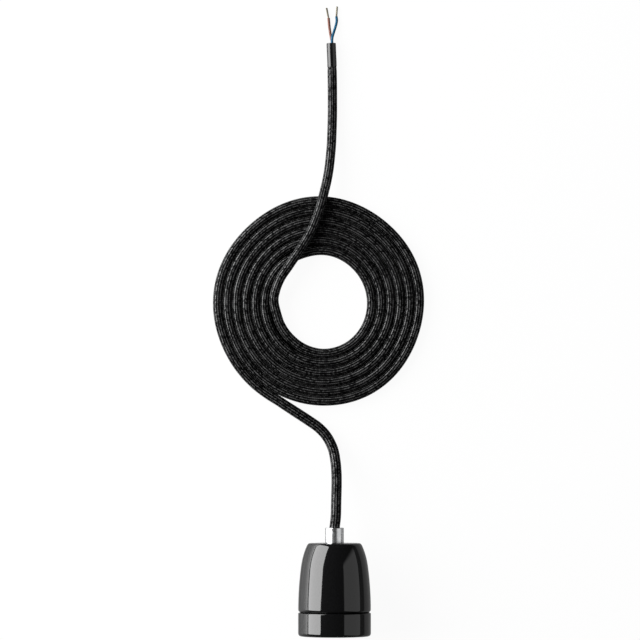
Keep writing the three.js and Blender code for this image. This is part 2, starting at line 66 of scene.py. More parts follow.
# Table: a white glossy board that the set lies on, with its near edge on the left. It is drawn nearly
# white for the eye, and painted black between the coil's turns, as the shade where no light gets in.
# Mirrored in glaze or metal it keeps its own gloss but is painted greyer, and on its right side it
# glows with a painted light, stronger near the holder and faint further right: painted shade and light in
# its reflections.
TABLE_REACH = 3.0
TABLE_LEFT_EDGE = 0.42
TABLE_DROP = 0.05 * MM
TABLE_WHITE = (0.86, 0.86, 0.86, 1.0)
MIRRORED_PAINTED_GREY = (0.33, 0.33, 0.33, 1.0)
TABLE_ROUGHNESS = 0.16
TABLE_IOR = 1.5
SEEN_LIT_SHARE = 0.945
MIRRORED_LEFT_SHARE = 0.05
MIRRORED_RIGHT_SHARE = 0.80
PAINTED_MIRROR_GLOW_NEAR = 0.34
PAINTED_MIRROR_GLOW_FAR = 0.03
RIGHT_SIDE = (0.010, 0.030)
FAR_SIDE = (0.105, 0.140)
MOUTH_Y = 35.0
# The coil's hole and outer edge bound the board that is painted black under the coil, as painted shade.
HOLE_CENTRE = (-8.2, 146.6)
HOLE_RADIUS = 32.8
COIL_SHADE_CENTRE = (-9.0, 146.9)
COIL_SHADE_RADIUS = 63.5
MIX_SOCKETS = {"FLOAT": (0, 2, 3, 0), "RGBA": (0, 6, 7, 2)}


def add_node(tree, kind, inputs=None, **settings):
    """A shader node of the kind, with its settings made, and each named input given a value or a link."""
    node = tree.nodes.new("ShaderNode" + kind)
    for key, value in settings.items():
        setattr(node, key, value)
    for key, value in (inputs or {}).items():
        if isinstance(value, bpy.types.NodeSocket):
            tree.links.new(value, node.inputs[key])
        else:
            node.inputs[key].default_value = value
    return node


def maths(tree, operation, *values, clamp=False):
    """The result of a Math node on the values, which are numbers or sockets."""
    node = add_node(tree, "Math", dict(enumerate(values)), operation=operation, use_clamp=clamp)
    return node.outputs[0]


def largest(tree, *values):
    """The largest of the values, by one Math node for each further value."""
    result = values[0]
    for value in values[1:]:
        result = maths(tree, "MAXIMUM", result, value)
    return result


def mixed(tree, kind, share, first, second):
    """Values (FLOAT) or colours (RGBA) from the first to the second, as the share goes from 0 to 1."""
    factor, a, b, result = MIX_SOCKETS[kind]
    return add_node(tree, "Mix", {factor: share, a: first, b: second}, data_type=kind).outputs[result]


def link_object(name, mesh):
    """A new object that shows the mesh."""
    piece = bpy.data.objects.new(name, mesh)
    bpy.context.scene.collection.objects.link(piece)
    return piece


def rise(tree, value, edges, low=0.0, high=1.0):
    """A smooth change from low to high, as the value goes from the first edge to the second."""
    span = {"Value": value, "From Min": edges[0], "From Max": edges[1], "To Min": low, "To Max": high}
    return add_node(tree, "MapRange", span, interpolation_type="SMOOTHSTEP").outputs[0]


def distance_from(tree, place, centre):
    """How far a place on the table is from a centre, which is given in mm from the grip's mouth."""
    middle = (centre[0] * MM, (centre[1] + MOUTH_Y) * MM, -TABLE_DROP)
    return add_node(tree, "VectorMath", {0: place, 1: middle}, operation="DISTANCE").outputs["Value"]


table_mesh = bpy.data.meshes.new("table")
table_corners = [
    (x, y * TABLE_REACH, -TABLE_DROP)
    for x, y in ((-TABLE_LEFT_EDGE, -1), (TABLE_REACH, -1), (TABLE_REACH, 1), (-TABLE_LEFT_EDGE, 1))
]
table_mesh.from_pydata(table_corners, [], [(0, 1, 2, 3)])
table = link_object("table", table_mesh)

table_material = bpy.data.materials.new("glossy_white_board")
table_material.use_nodes = True
tree = table_material.node_tree
tree.nodes.clear()
output = add_node(tree, "OutputMaterial")
light_path = add_node(tree, "LightPath")
# Gloss sees the board painted grey: painted shade in its reflections.
board_white_and_mirrored_shade = mixed(tree, "RGBA", light_path.outputs["Is Glossy Ray"], TABLE_WHITE, MIRRORED_PAINTED_GREY)
board = add_node(
    tree, "BsdfPrincipled",
    {"Base Color": board_white_and_mirrored_shade, "Roughness": TABLE_ROUGHNESS, "IOR": TABLE_IOR},
)
seen = largest(tree, light_path.outputs["Is Camera Ray"], light_path.outputs["Is Transmission Ray"])
table_place = add_node(tree, "TexCoord").outputs["Object"]
table_x = add_node(tree, "SeparateXYZ", {0: table_place}).outputs["X"]
# Where this is 0, under the coil, the eye sees the board painted black: painted shade between the turns.
open_board = largest(
    tree,
    maths(tree, "LESS_THAN", distance_from(tree, table_place, HOLE_CENTRE), HOLE_RADIUS * MM),
    maths(tree, "GREATER_THAN", distance_from(tree, table_place, COIL_SHADE_CENTRE), COIL_SHADE_RADIUS * MM),
)
# On the right side, gloss sees mostly a painted glow in place of the lit board.
mirrored = maths(
    tree, "MULTIPLY",
    light_path.outputs["Is Glossy Ray"],
    rise(tree, table_x, RIGHT_SIDE, MIRRORED_LEFT_SHARE, MIRRORED_RIGHT_SHARE),
)
lit_share = maths(tree, "MULTIPLY_ADD", open_board, SEEN_LIT_SHARE - 1.0, 1.0)
share = largest(tree, maths(tree, "MULTIPLY", seen, lit_share), mirrored)
unseen = maths(tree, "SUBTRACT", 1.0, seen)
# The painted glow: brighter near the holder, faint further right; painted light and shade for reflections
# only.
dim = maths(tree, "MULTIPLY", unseen, rise(tree, table_x, FAR_SIDE, PAINTED_MIRROR_GLOW_NEAR, PAINTED_MIRROR_GLOW_FAR))
level = largest(tree, maths(tree, "MULTIPLY", seen, open_board), dim)
lit = add_node(tree, "Emission", {"Color": (1.0, 1.0, 1.0, 1.0), "Strength": level})
surface = add_node(tree, "MixShader", {0: share, 1: board.outputs[0], 2: lit.outputs[0]})
tree.links.new(surface.outputs[0], output.inputs["Surface"])
table_mesh.materials.append(table_material)


# Light: one tall soft panel to the left and a little behind, as in a product studio, and a white
# room. Gloss sees the room dark, with one dim window in its right wall, so it keeps its black bands.
PANEL_CENTRE = (0.0, 0.12, 0.02)
PANEL_DISTANCE = 1.2
PANEL_AZIMUTH = 160.0
PANEL_TILT = 65.8
PANEL_HALF_HEIGHT = 25.2
PANEL_HALF_WIDTH = 36.0
PANEL_RADIANCE = 8.8
ROOM_AMBIENT = 0.26
ROOM_DARK = 0.04
WINDOW_LEVEL = 0.76
WINDOW_BOTTOM = (0.00, 0.03)
WINDOW_TOP = (1.80, 1.58)
WINDOW_SIDE = (0.70, 0.46)
LEAST_DEPTH = 0.001

tilt = math.radians(PANEL_TILT)
azimuth = math.radians(PANEL_AZIMUTH)
panel_data = bpy.data.lights.new("soft_panel", "AREA")
panel_data.shape = "RECTANGLE"
panel_data.size = 2 * PANEL_DISTANCE * math.tan(math.radians(PANEL_HALF_WIDTH)) * math.sin(tilt)
panel_data.size_y = 2 * PANEL_DISTANCE * math.tan(math.radians(PANEL_HALF_HEIGHT))
panel_data.energy = PANEL_RADIANCE * math.pi * panel_data.size * panel_data.size_y
panel = bpy.data.objects.new("soft_panel", panel_data)
panel.location = (
    PANEL_CENTRE[0] + PANEL_DISTANCE * math.sin(tilt) * math.cos(azimuth),
    PANEL_CENTRE[1] + PANEL_DISTANCE * math.sin(tilt) * math.sin(azimuth),
    PANEL_CENTRE[2] + PANEL_DISTANCE * math.cos(tilt),
)
panel.rotation_euler = (tilt, 0.0, azimuth + math.pi / 2)
panel.visible_camera = False
bpy.context.scene.collection.objects.link(panel)

world = bpy.data.worlds.new("white_room")
bpy.context.scene.world = world
world.use_nodes = True
tree = world.node_tree
tree.nodes.clear()
output = add_node(tree, "OutputWorld")
light_path = add_node(tree, "LightPath")
direction = add_node(tree, "TexCoord").outputs["Generated"]
towards = add_node(tree, "SeparateXYZ", {0: direction})
depth = maths(tree, "MAXIMUM", towards.outputs["X"], LEAST_DEPTH)
upward = maths(tree, "DIVIDE", towards.outputs["Z"], depth)
sideward = maths(tree, "ABSOLUTE", maths(tree, "DIVIDE", towards.outputs["Y"], depth))
window = maths(tree, "MULTIPLY", rise(tree, upward, WINDOW_TOP), rise(tree, sideward, WINDOW_SIDE))
window = maths(tree, "MULTIPLY", window, rise(tree, towards.outputs["Z"], WINDOW_BOTTOM))
mirrored_room = maths(tree, "MULTIPLY_ADD", window, WINDOW_LEVEL, ROOM_DARK)
white = largest(tree, light_path.outputs["Is Camera Ray"], light_path.outputs["Is Transmission Ray"])
not_glossy = maths(tree, "MAXIMUM", white, ROOM_AMBIENT)
not_white = maths(tree, "SUBTRACT", 1.0, white)
mirror_share = maths(tree, "MULTIPLY", light_path.outputs["Is Glossy Ray"], not_white)
strength = mixed(tree, "FLOAT", mirror_share, not_glossy, mirrored_room)
background = add_node(tree, "Background", {"Color": (1.0, 1.0, 1.0, 1.0), "Strength": strength})
tree.links.new(background.outputs[0], output.inputs["Surface"])


# Cord: two cores in a tube of black rayon braid, 2.2 m long and shown from end to end. It goes from
# inside the grip to the table, winds inwards in six flat turns, then climbs over them to its end.
HOLDER_AXIS = 23.5
CORD_DIAMETER = 6.1
CORD_ON_TABLE = 3.07
CORD_ON_COIL = 9.4
INSIDE_GRIP = [(0.0, -20.0, 23.5), (0.0, -15.0, 23.5), (0.0, -10.0, 23.5), (0.0, -5.0, 23.5)]
LEAD_ROUTE = [
    (0.1, 0.3, 23.5), (0.35, 2.5, 23.5), (0.7, 5.5, 23.5), (0.95, 9.5, 23.2), (1.05, 14.5, 22.2),
    (1.2, 20.5, 20.1), (1.4, 28.1, 16.5), (1.3, 35.7, 12.3), (0.6, 43.4, 8.3), (-1.0, 51.1, 5.1),
    (-4.9, 58.9, 3.4), (-10.15, 64.7, 3.1), (-16.0, 68.9, 3.07), (-22.4, 73.1, 3.07),
    (-30.8, 78.55, 3.07), (-36.85, 82.55, 3.07), (-43.65, 86.8, 3.07),
]
COIL_CENTRE = (-9.0, 145.4)
COIL_START_RADIUS = 67.279
COIL_PITCH = 6.126
COIL_OVAL = (0.241, 0.352)
COIL_TURNS = 6.0
OUTER_SLACK = 0.32
OUTER_WAVES = ((-0.47, 0.26), (-0.29, -0.12), (0.22, 0.0), (0.21, -0.11), (0.07, 0.29))
COIL_FIRST_TURN = -0.14
COIL_LAST_TURN = 5.95
DRAWN_IN = 1.05
DRAWN_IN_TURNS = (5.74, 5.86)
INNER_BULGE = 0.95
INNER_BULGE_TURN = 5.195
INNER_BULGE_WIDTH = 0.06
COIL_POINTS_PER_TURN = 36
CLIMB_START = 5.83
CLIMB_TURNS = 0.34
CLIMB_ROUTE = [(-39.4, 146.6, 6.2), (-38.25, 154.5, 7.5), (-35.1, 162.15, 8.6)]
TAIL_ROUTE = [
    (-30.4, 169.1, 9.3), (-27.0, 174.1, 9.4), (-23.05, 179.8, 9.4), (-18.6, 186.8, 9.4),
    (-15.3, 192.8, 9.4), (-12.4, 199.5, 9.4), (-10.0, 206.2, 9.4), (-8.1, 212.5, 9.4),
    (-6.4, 219.2, 9.3), (-4.8, 226.0, 8.6), (-3.5, 233.5, 7.5), (-2.6, 241.5, 6.2),
    (-1.9, 250.0, 4.9), (-1.55, 259.0, 3.8), (-1.3, 268.3, 3.2), (-1.25, 278.0, 3.08),
    (-1.3, 288.0, 3.07), (-1.5, 300.6, 3.07), (-1.55, 304.5, 3.05),
]
CURVE_STEPS = 12
RING_SPACING = 0.82
BRAID_COLUMNS = 12
SIDES_PER_COLUMN = 3
COLUMN_VALLEY = 0.20
CREST_OVER = 0.09
SWELL = 0.22
SWELL_PLACES = (-2.0, 0.0, 85.0, 125.0, 2010.0, 2060.0)
SWELL_SHARES = (0.0, 1.0, 1.0, 0.0, 0.0, -0.35)
SLEEVE_PINCH = 0.45
PINCH_LENGTH = 7.5
PICK_LENGTH = 1.3
PICK_SLANT = 0.9
ARCH_POWER = 0.8
CREST_POWER = 3.0
FIBRES_PER_PICK = 9.0
FIBRE_RELIEF = 0.25
BRAID_BUMP = {"Strength": 0.8, "Distance": 0.12 * MM}
LIGHT_BY_ARCH = (0.8, 0.15)
LIGHT_BY_PLACE = (0.8, 0.6)
LIGHT_BY_CHANCE = (1.6, 0.2)
# Near black for the painted shade in the grooves, dark grey for the crests with a painted sheen.
GROOVE_SHADE_TO_CREST_SHEEN = ((0.10, (0.0004, 0.0004, 0.0005, 1.0)), (1.0, (0.054, 0.054, 0.0545, 1.0)))
SILK_COAT = 1.06
YARN_ROUGHNESS = (0.2, 0.7)


def smooth_curve(points, steps):
    """A cubic through each pair of points, whose end slopes are half the step between their neighbours."""
    points = np.asarray(points, dtype=float)
    padded = np.vstack([2 * points[0] - points[1], points, 2 * points[-1] - points[-2]])
    a, b, c, d = padded[:-3, None], padded[1:-2, None], padded[2:-1, None], padded[3:, None]
    t = np.linspace(0.0, 1.0, steps, endpoint=False)[None, :, None]
    spans = b + 0.5 * ((c - a) * t + (2 * a - 5 * b + 4 * c - d) * t**2 + (3 * b - a - 3 * c + d) * t**3)
    return np.vstack([spans.reshape(-1, 3), points[-1:]])


def even_steps(line, spacing):
    """The line's points moved to equal distances along it, and those distances."""
    along = np.concatenate([[0.0], np.cumsum(np.linalg.norm(np.diff(line, axis=0), axis=1))])
    marks = np.linspace(0.0, along[-1], int(round(along[-1] / spacing)) + 1)
    return np.stack([np.interp(marks, along, line[:, axis]) for axis in range(3)], axis=1), marks


def eased(share):
    """The share, from 0 to 1, with a level start and end."""
    return share**2 * (3 - 2 * share)


def coil_turns(turns):
    """A spiral, clockwise from the left, that loses one pitch in each turn; the last part climbs.

    It is slightly oval, and its outer turns lie looser, by waves in step with the angle. Under the
    crossing the inner edge bulges, by a bell curve. Before it climbs, the inner turn draws in."""
    angle = 2 * np.pi * turns
    oval = COIL_OVAL[1] * np.sin(2 * angle) - COIL_OVAL[0] * np.cos(2 * angle)
    slack = OUTER_SLACK
    for number, (cosine, sine) in enumerate(OUTER_WAVES, start=1):
        slack = slack + cosine * np.cos(number * angle) + sine * np.sin(number * angle)
    radius = COIL_START_RADIUS - COIL_PITCH * turns + oval + slack * (1.0 - turns / COIL_TURNS)
    radius -= DRAWN_IN * np.interp(turns, DRAWN_IN_TURNS, (0.0, 1.0))
    radius -= INNER_BULGE * np.exp(-(((turns - INNER_BULGE_TURN) / INNER_BULGE_WIDTH) ** 2))
    climb = np.clip((turns - CLIMB_START) / CLIMB_TURNS, 0.0, 1.0)
    height = CORD_ON_TABLE + (CORD_ON_COIL - CORD_ON_TABLE) * eased(climb)
    x = COIL_CENTRE[0] - radius * np.cos(angle)
    y = COIL_CENTRE[1] + radius * np.sin(angle)
    return np.stack([x, y, height], axis=1)


def frames_along(line, upright=(0.0, 0.0, 1.0)):
    """For each point of a line: its direction, and across it the side and the way nearest to upright."""
    forward = np.gradient(line, axis=0)
    forward /= np.linalg.norm(forward, axis=1, keepdims=True)
    side = np.cross(forward, upright)
    side /= np.linalg.norm(side, axis=1, keepdims=True)
    return forward, side, np.cross(side, forward)


def grid_mesh(name, points, along=None, capped=False, closed=False):
    """A mesh over a grid of points, in mm: each row is a closed ring, and each is joined to the next.

    Its UV map holds the share of the way round in u, and in v the distance along, in metres.
    With capped, the first and last rows are filled; with closed, the last row joins the first."""
    rows, sides = points.shape[:2]
    i, j = np.meshgrid(np.arange(rows if closed else rows - 1), np.arange(sides), indexing="ij")
    i, j = i.ravel(), j.ravel()
    k, l = (i + 1) % rows, (j + 1) % sides
    if along is None:
        along = np.arange(rows) * MM
    loops = (np.stack([i, k, k, i], axis=1) * sides + np.stack([j, j, l, l], axis=1)).ravel()
    u = np.stack([j, j, j + 1, j + 1], axis=1) / sides
    v = np.stack([along[i], along[k], along[k], along[i]], axis=1)
    uv = np.stack([u, v], axis=2).reshape(-1, 2)
    sizes = np.full(len(i), 4)
    if capped:
        ring = np.arange(sides)
        loops = np.concatenate([loops, ring, ring[::-1] + (rows - 1) * sides])
        sizes = np.concatenate([sizes, [sides, sides]])
        uv = np.vstack([uv, np.zeros((2 * sides, 2))])
    mesh = bpy.data.meshes.new(name)
    mesh.vertices.add(rows * sides)
    mesh.vertices.foreach_set("co", (points * MM).astype(np.float32).ravel())
    mesh.loops.add(len(loops))
    mesh.loops.foreach_set("vertex_index", loops.astype(np.int32))
    mesh.polygons.add(len(sizes))
    starts = np.concatenate([[0], np.cumsum(sizes)[:-1]])
    mesh.polygons.foreach_set("loop_start", starts.astype(np.int32))
    layer = mesh.uv_layers.new(name="surface")
    layer.data.foreach_set("uv", uv.astype(np.float32).ravel())
    mesh.update(calc_edges=True)
    mesh.shade_smooth()
    return mesh


def circle(sides, radius=1.0, start=0.0):
    """A ring of points round the origin, as two columns; start is the first point's angle."""
    turn = start + 2 * np.pi * np.arange(sides) / sides
    return radius * np.stack([np.cos(turn), np.sin(turn)], axis=1)


def swept(line, section, upright=(0.0, 0.0, 1.0)):
    """Rings made by carrying a section along a line: its first column goes sideways, its second up."""
    _, side, up = frames_along(line, upright)
    return line[:, None] + section[..., 0, None] * side[:, None] + section[..., 1, None] * up[:, None]


def new_material(name, **plain):
    """A material with one Principled shader, whose named sockets get the plain values given."""
    material = bpy.data.materials.new(name)
    material.use_nodes = True
    tree = material.node_tree
    tree.nodes.clear()
    output = add_node(tree, "OutputMaterial")
    shader = add_node(tree, "BsdfPrincipled", {key.replace("_", " "): value for key, value in plain.items()})
    tree.links.new(shader.outputs[0], output.inputs["Surface"])
    return material, tree, shader


def scaled(tree, value, line):
    """The value times the first number of the line, plus the second."""
    return maths(tree, "MULTIPLY_ADD", value, *line)


def braid_material():
    """Plaited yarn: lengthwise columns of slanting picks, each leaning the other way to the next.

    A pick's height is the product of two arches, one over its column and one over its own width.
    Fine fibres run along each pick, and each pick takes the light a little differently. The silky
    gloss is a coat on the picks, and there is none between the columns. The colour is near black
    between the columns and between the picks, as painted shade in the grooves, and dark grey on the
    crests, the yarn's own colour with a painted sheen."""
    material, tree, shader = new_material(
        "black_rayon_braid", IOR=1.5, Specular_IOR_Level=0.0, Coat_Roughness=0.40, Coat_IOR=1.5,
    )
    surface = add_node(tree, "UVMap", uv_map="surface").outputs[0]
    place = add_node(tree, "SeparateXYZ", {0: surface})
    column = maths(tree, "MULTIPLY", place.outputs["X"], BRAID_COLUMNS)
    across = maths(tree, "FRACT", column)
    number = maths(tree, "FLOOR", column)
    parity = scaled(tree, maths(tree, "MODULO", number, 2.0), (2.0, -1.0))
    lean = maths(tree, "MULTIPLY", maths(tree, "MULTIPLY", across, parity), PICK_SLANT)
    rank = maths(tree, "ADD", maths(tree, "DIVIDE", place.outputs["Y"], PICK_LENGTH * MM), lean)
    step = maths(tree, "FRACT", rank)
    over_column = maths(tree, "SINE", maths(tree, "MULTIPLY", across, math.pi))
    over_pick = maths(tree, "SINE", maths(tree, "MULTIPLY", step, math.pi))
    pick_arch = maths(tree, "POWER", over_pick, ARCH_POWER)
    height = maths(tree, "MULTIPLY", maths(tree, "POWER", over_column, ARCH_POWER), pick_arch)

    fibre = maths(tree, "MULTIPLY", rank, FIBRES_PER_PICK)
    fibre_place = add_node(tree, "CombineXYZ", {"X": fibre, "Y": column})
    fibres = add_node(tree, "TexNoise", {"Vector": fibre_place.outputs[0], "Scale": 1.0, "Detail": 2.0})
    uneven = add_node(tree, "TexNoise", {"Vector": surface, "Scale": 90.0, "Detail": 3.0})
    relief = scaled(tree, fibres.outputs[0], (FIBRE_RELIEF, height))
    bump = add_node(tree, "Bump", {"Height": relief, **BRAID_BUMP})
    tree.links.new(bump.outputs[0], shader.inputs["Normal"])

    own_number = add_node(tree, "CombineXYZ", {"X": maths(tree, "FLOOR", rank), "Y": number})
    chance = add_node(tree, "TexWhiteNoise", {"Vector": own_number.outputs[0]}, noise_dimensions="2D")
    # Near 0 in the grooves between the columns and between the picks: painted shade there.
    shade = maths(tree, "POWER", over_column, CREST_POWER)
    for value, line in (
        (pick_arch, LIGHT_BY_ARCH),
        (uneven.outputs[0], LIGHT_BY_PLACE),
        (chance.outputs["Value"], LIGHT_BY_CHANCE),
    ):
        shade = maths(tree, "MULTIPLY", shade, scaled(tree, value, line))
    # The ramp paints groove shade up to the crests' dark grey with its painted sheen.
    colour = add_node(tree, "ValToRGB", {0: shade})
    for stop, (position, yarn) in zip(colour.color_ramp.elements, GROOVE_SHADE_TO_CREST_SHEEN):
        stop.position = position
        stop.color = yarn
    tree.links.new(colour.outputs[0], shader.inputs["Base Color"])
    tree.links.new(maths(tree, "MULTIPLY", shade, SILK_COAT, clamp=True), shader.inputs["Coat Weight"])
    tree.links.new(scaled(tree, fibres.outputs[0], YARN_ROUGHNESS), shader.inputs["Roughness"])
    return material


turns = np.arange(COIL_FIRST_TURN, COIL_LAST_TURN, 1.0 / COIL_POINTS_PER_TURN)
route = [np.array(part, dtype=float) for part in (INSIDE_GRIP, LEAD_ROUTE)]
route.append(coil_turns(turns))
route += [np.array(part, dtype=float) for part in (CLIMB_ROUTE, TAIL_ROUTE)]
cord_curve = smooth_curve(np.vstack(route) + [0.0, MOUTH_Y, 0.0], CURVE_STEPS)
cord_line, cord_marks = even_steps(cord_curve, RING_SPACING)
to_end = cord_marks[-1] - cord_marks
pinch = np.clip(1.0 - to_end / PINCH_LENGTH, 0.0, 1.0)
swell = SWELL * np.interp(cord_marks + INSIDE_GRIP[0][1], SWELL_PLACES, SWELL_SHARES)
cord_radius = CORD_DIAMETER / 2 + CREST_OVER + swell - SLEEVE_PINCH * eased(pinch)
cord_sides = BRAID_COLUMNS * SIDES_PER_COLUMN
valley = COLUMN_VALLEY * (np.arange(cord_sides) % SIDES_PER_COLUMN == 0)
half_column = np.pi / BRAID_COLUMNS
cord_section = circle(cord_sides, start=half_column) * (cord_radius[:, None] - valley)[..., None]
cord_points = swept(cord_line, cord_section)
cord_points[..., 2] = np.maximum(cord_points[..., 2], 0.0)
cord_mesh = grid_mesh("textile_cord", cord_points, along=cord_marks * MM, capped=True)
cord_mesh.materials.append(braid_material())
textile_cord = link_object("textile_cord", cord_mesh)
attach(textile_cord, "root")
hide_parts("cord_inner_end", "cord_lead", "cord_coil", "cord_tail")


# Free end: a glossy black shrink sleeve holds the braid's end. Out of it come the two insulated
# cores, each stripped for a few millimetres down to its twisted copper strands.
SLEEVE_RADIUS = 3.05
SLEEVE_MOUTH_RADIUS = 2.6
SLEEVE_SIDES = 48
SLEEVE_FOOT = [(1.2, -0.6), (0.45, -0.3), (0.38, -0.15), (0.42, 0.02), (0.75, 0.03)]
SLEEVE_TIP = [(-0.45, -0.03), (-0.1, -0.08), (0.0, -0.2)]
SLEEVE_MOUTH = [(0.0, 0.1), (-0.1, 0.0), (-1.6, 0.0), (-1.7, -2.0)]
SLEEVE_EDGE_LENGTH = 2.0
SLEEVE_EDGE_SWING = 0.30
SLEEVE_EDGE_RIPPLE = 0.35
SLEEVE_EDGE_TURN = 2.2
END_SLEEVE_ROUTE = [(-1.5, 300.2, 3.09), (-1.6, 304.0, 3.09), (-1.8, 308.5, 3.09), (-2.1, 316.0, 3.09)]
CORE_RADIUS = 0.85
CORE_SIDES = 24
CORE_CUT = [(-0.04, -0.04), (0.0, -0.16), (0.0, -0.55)]
STRANDS_RADIUS = 0.58
STRANDS_LOBES = 7
SIDES_PER_LOBE = 6
LOBE_HEIGHT = 0.10
STRANDS_TWIST_LENGTH = 9.0
STRANDS_STEP = 0.2
STRANDS_TIP = 0.8
WORN_FROM = 0.35
WORN_AT = 0.68
BLOTCH_SIZE = 6
BLOTCH_DETAIL = 4.0
BROWN_ROUTE = [
    (-1.3, 314.0, 2.0), (-1.4, 316.3, 1.8), (-2.3, 320.6, 1.4), (-3.2, 326.5, 1.0), (-3.8, 332.8, 0.85),
]
BROWN_BARE = [(-3.78, 332.3, 0.85), (-4.5, 336.2, 0.8), (-5.1, 339.4, 0.75)]
BLUE_ROUTE = [
    (-1.6, 314.0, 3.9), (-1.6, 316.3, 3.9), (-1.4, 319.4, 3.4), (-0.5, 322.8, 2.7),
    (1.0, 327.8, 1.5), (1.6, 331.2, 0.95), (1.3, 333.8, 0.85),
]
BLUE_BARE = [(1.31, 333.3, 0.85), (1.6, 337.1, 0.8), (1.8, 340.3, 0.75)]


def dressed(name, mesh, material, slot, *nodes, crease=35.0):
    """The mesh as a piece of the set, with its material, in the place of the nodes; slot is not used."""
    mesh.materials.clear()
    mesh.materials.append(material)
    mesh.set_sharp_from_angle(angle=math.radians(crease))
    piece = link_object(name, mesh)
    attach(piece, "root")
    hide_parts(*nodes)
    return piece


def lined(points, spacing=0.4):
    """The smooth line through points given from the grip's mouth, at even steps."""
    curve = smooth_curve(np.array(points, dtype=float) + [0.0, MOUTH_Y, 0.0], CURVE_STEPS)
    return even_steps(curve, spacing)


def round_about(line, marks, profile, sides):
    """Rings about a line: each row of the profile is a distance along the line and a radius."""
    where, radius = profile[:, 0], profile[:, 1]
    _, side, up = frames_along(line)
    middle, side, up = (
        np.stack([np.interp(where, marks, values[:, axis]) for axis in range(3)], axis=1)
        for values in (line, side, up)
    )
    unit = circle(sides)
    across = unit[None, :, :1] * side[:, None] + unit[None, :, 1:] * up[:, None]
    return middle[:, None] + radius[:, None, None] * across


def node_group(name, inputs, outputs):
    """An empty group, with its input and output nodes.

    The inputs are rows of name, kind and default value, and the outputs rows of name and kind."""
    group = bpy.data.node_groups.new(name, "ShaderNodeTree")
    for label, kind, value in inputs:
        socket = group.interface.new_socket(label, in_out="INPUT", socket_type="NodeSocket" + kind)
        socket.default_value = value
    for label, kind in outputs:
        group.interface.new_socket(label, in_out="OUTPUT", socket_type="NodeSocket" + kind)
    return group, group.nodes.new("NodeGroupInput"), group.nodes.new("NodeGroupOutput")


def surface_grain_group():
    """Noise of a given scale, put out as mottling from 0 to 1, and as the normal of its relief."""
    group, inside, outside = node_group(
        "surface_grain",
        [("Scale", "Float", 600.0), ("Detail", "Float", 3.0), ("Depth", "Float", 0.00001)],
        [("Mottle", "Float"), ("Normal", "Vector")],
    )
    place = add_node(group, "TexCoord").outputs["Object"]
    noise = add_node(
        group, "TexNoise",
        {"Vector": place, "Scale": inside.outputs["Scale"], "Detail": inside.outputs["Detail"]},
    )
    bump = add_node(group, "Bump", {"Height": noise.outputs[0], "Distance": inside.outputs["Depth"]})
    group.links.new(noise.outputs[0], outside.inputs["Mottle"])
    group.links.new(bump.outputs[0], outside.inputs["Normal"])
    return group


def tint_group():
    """Mixes a clean and a worn colour, and a clean and a worn roughness, by a mottling value."""
    group, inside, outside = node_group(
        "worn_tint",
        [
            ("Mottle", "Float", 0.5), ("Clean", "Color", (0.8, 0.8, 0.8, 1.0)),
            ("Worn", "Color", (0.4, 0.4, 0.4, 1.0)), ("Smooth", "Float", 0.2), ("Rough", "Float", 0.5),
        ],
        [("Color", "Color"), ("Roughness", "Float")],
    )
    wear = rise(group, inside.outputs["Mottle"], (WORN_FROM, WORN_AT))
    colour = mixed(group, "RGBA", wear, inside.outputs["Clean"], inside.outputs["Worn"])
    rough = mixed(group, "FLOAT", wear, inside.outputs["Smooth"], inside.outputs["Rough"])
    group.links.new(colour, outside.inputs["Color"])
    group.links.new(rough, outside.inputs["Roughness"])
    return group


surface_grain = surface_grain_group()
worn_tint = tint_group()


def add_group(tree, group, **inputs):
    """The group as a node of the tree, with its named inputs given values or links."""
    node = tree.nodes.new("ShaderNodeGroup")
    node.node_tree = group
    for key, value in inputs.items():
        if isinstance(value, bpy.types.NodeSocket):
            tree.links.new(value, node.inputs[key])
        else:
            node.inputs[key].default_value = value
    return node


def grained_material(name, clean, worn, smooth, rough, scale, depth, detail=3.0, **plain):
    """A material whose colour and roughness wander between two values, over a fine relief."""
    material, tree, shader = new_material(name, **plain)
    grain = add_group(tree, surface_grain, Scale=scale, Detail=detail, Depth=depth)
    blotches = add_group(tree, surface_grain, Scale=scale / BLOTCH_SIZE, Detail=BLOTCH_DETAIL, Depth=0.0)
    tint = add_group(
        tree, worn_tint, Mottle=blotches.outputs["Mottle"],
        Clean=(*clean, 1.0), Worn=(*worn, 1.0), Smooth=smooth, Rough=rough,
    )
    tree.links.new(tint.outputs["Color"], shader.inputs["Base Color"])
    tree.links.new(tint.outputs["Roughness"], shader.inputs["Roughness"])
    tree.links.new(grain.outputs["Normal"], shader.inputs["Normal"])
    return material


shrink_film = grained_material(
    "black_shrink_film", clean=(0.003, 0.003, 0.0032), worn=(0.006, 0.006, 0.0065),
    smooth=0.07, rough=0.14, scale=420.0, depth=0.00003, IOR=1.5,
)
brown_skin = grained_material(
    "brown_insulation", clean=(0.165, 0.064, 0.044), worn=(0.120, 0.045, 0.031),
    smooth=0.30, rough=0.44, scale=1500.0, depth=0.00001, IOR=1.5, Specular_IOR_Level=0.2,
)
blue_skin = grained_material(
    "blue_insulation", clean=(0.001, 0.070, 0.140), worn=(0.001, 0.052, 0.110),
    smooth=0.28, rough=0.42, scale=1500.0, depth=0.00001, IOR=1.5, Specular_IOR_Level=0.15,
)
bare_copper = grained_material(
    "bare_copper_strands", clean=(0.19, 0.175, 0.13), worn=(0.13, 0.118, 0.087),
    smooth=0.55, rough=0.70, scale=2500.0, depth=0.00001, Metallic=1.0,
)


